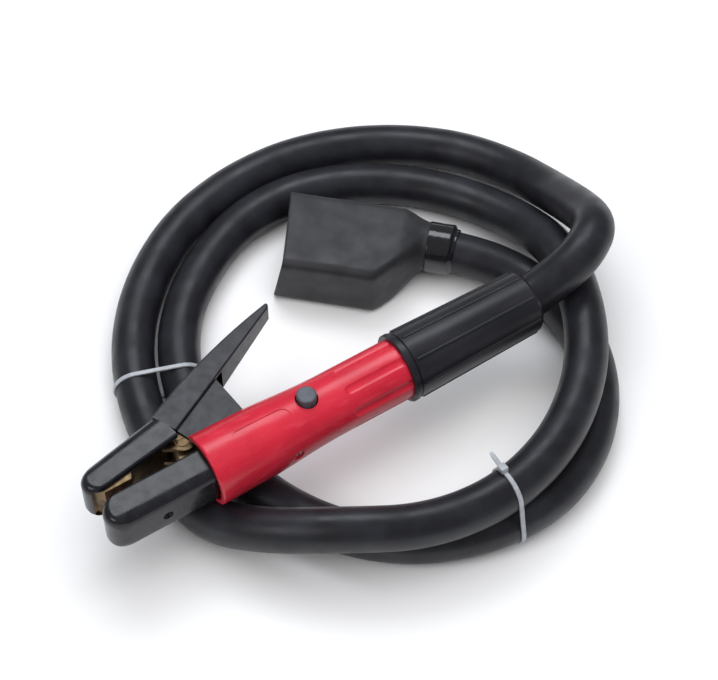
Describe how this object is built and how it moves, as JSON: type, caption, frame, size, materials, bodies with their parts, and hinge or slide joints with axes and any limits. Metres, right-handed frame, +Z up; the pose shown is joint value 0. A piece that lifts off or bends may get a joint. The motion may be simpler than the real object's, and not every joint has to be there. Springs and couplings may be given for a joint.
{
  "type": "air carbon-arc gouging electrode holder",
  "caption": "Gouging electrode holder with sprung jaws, squeeze lever, swivel electrode head, air valve button, red handle, coiled power and air cable, and a booted connector.",
  "frame": {"origin": "middle of the electrode groove in the swivel head", "axes": "+X runs along the handle from the jaws to the cable, +Y towards the lever, +Z up, along the jaw hinge and the electrode"},
  "size_m": [0.3538, 0.3147, 0.0808],
  "materials": {
    "brass": "cast and machined brass, dulled",
    "copper": "bare copper",
    "insulating_bush": "brown laminate",
    "jaw_insulator": "glossy black moulding",
    "lever_moulding": "satin black moulding",
    "red_handle": "glossy red moulding",
    "button": "satin grey moulding",
    "steel_screw": "zinc-plated steel",
    "black_screw": "black oxide",
    "spring_steel": "bright spring wire",
    "seal_rubber": "nitrile rubber",
    "sleeve_rubber": "satin black rubber",
    "cable_rubber": "satin black rubber",
    "boot_rubber": "matt charcoal rubber",
    "tape": "glossy black vinyl",
    "nylon_tie": "translucent natural nylon"
  },
  "bodies": {
    "torch_body": {"lower_arm_body": "brass", "lower_jaw_insulator": "jaw_insulator", "lower_insulator_screw": "black_screw", "pivot_pin": "brass", "pivot_clip": "spring_steel", "jaw_spring": "spring_steel", "handle": "red_handle", "handle_screw": "steel_screw", "valve_body": "brass", "valve_guide": "brass", "stem_seal": "seal_rubber", "valve_spring": "spring_steel", "coupling_nut": "brass", "cable_ferrule": "copper", "cable_sleeve": "sleeve_rubber", "cable_1": "cable_rubber", "cable_2": "cable_rubber", "cable_3": "cable_rubber", "cable_4": "cable_rubber", "cable_5": "cable_rubber", "cable_6": "cable_rubber", "cable_7": "cable_rubber", "cable_8": "cable_rubber", "cable_9": "cable_rubber", "tie_left": "nylon_tie", "tie_right": "nylon_tie", "boot": "boot_rubber", "tape_wrap": "tape", "connector_ferrule": "copper", "connector_body": "brass", "air_socket": "brass", "lug_bolt": "steel_screw", "lug_nut": "steel_screw", "lug_washer": "steel_screw"},
    "jaw": {"upper_arm": "brass", "upper_jaw_insulator": "jaw_insulator", "upper_insulator_screw": "black_screw", "pivot_bushes": "insulating_bush", "lever": "lever_moulding", "spring_shield": "lever_moulding"},
    "head": {"swivel_head": "copper", "head_washer": "steel_screw", "head_screw": "steel_screw"},
    "button": {"valve_button": "button", "valve_stem": "steel_screw", "valve_poppet": "seal_rubber"}
  },
  "joints": [
    {"name": "jaw_hinge", "type": "hinge", "parent": "torch_body", "child": "jaw", "pos_m": [0.044, 0.0105, 0], "axis": [0, 0, -1], "range_deg": [0, 16], "stiffness_Nm_per_rad": 2, "springref_deg": -28.65, "deforming": ["jaw_spring"]},
    {"name": "head_swivel", "type": "hinge", "parent": "torch_body", "child": "head", "pos_m": [0, -0.008, 0], "axis": [0, 1, 0], "continuous": true},
    {"name": "button_press", "type": "slide", "parent": "torch_body", "child": "button", "axis": [0, 0, -1], "range_m": [0, 0.0035], "stiffness_N_per_m": 800, "springref_m": -0.004, "deforming": ["valve_spring"]}
  ]
}
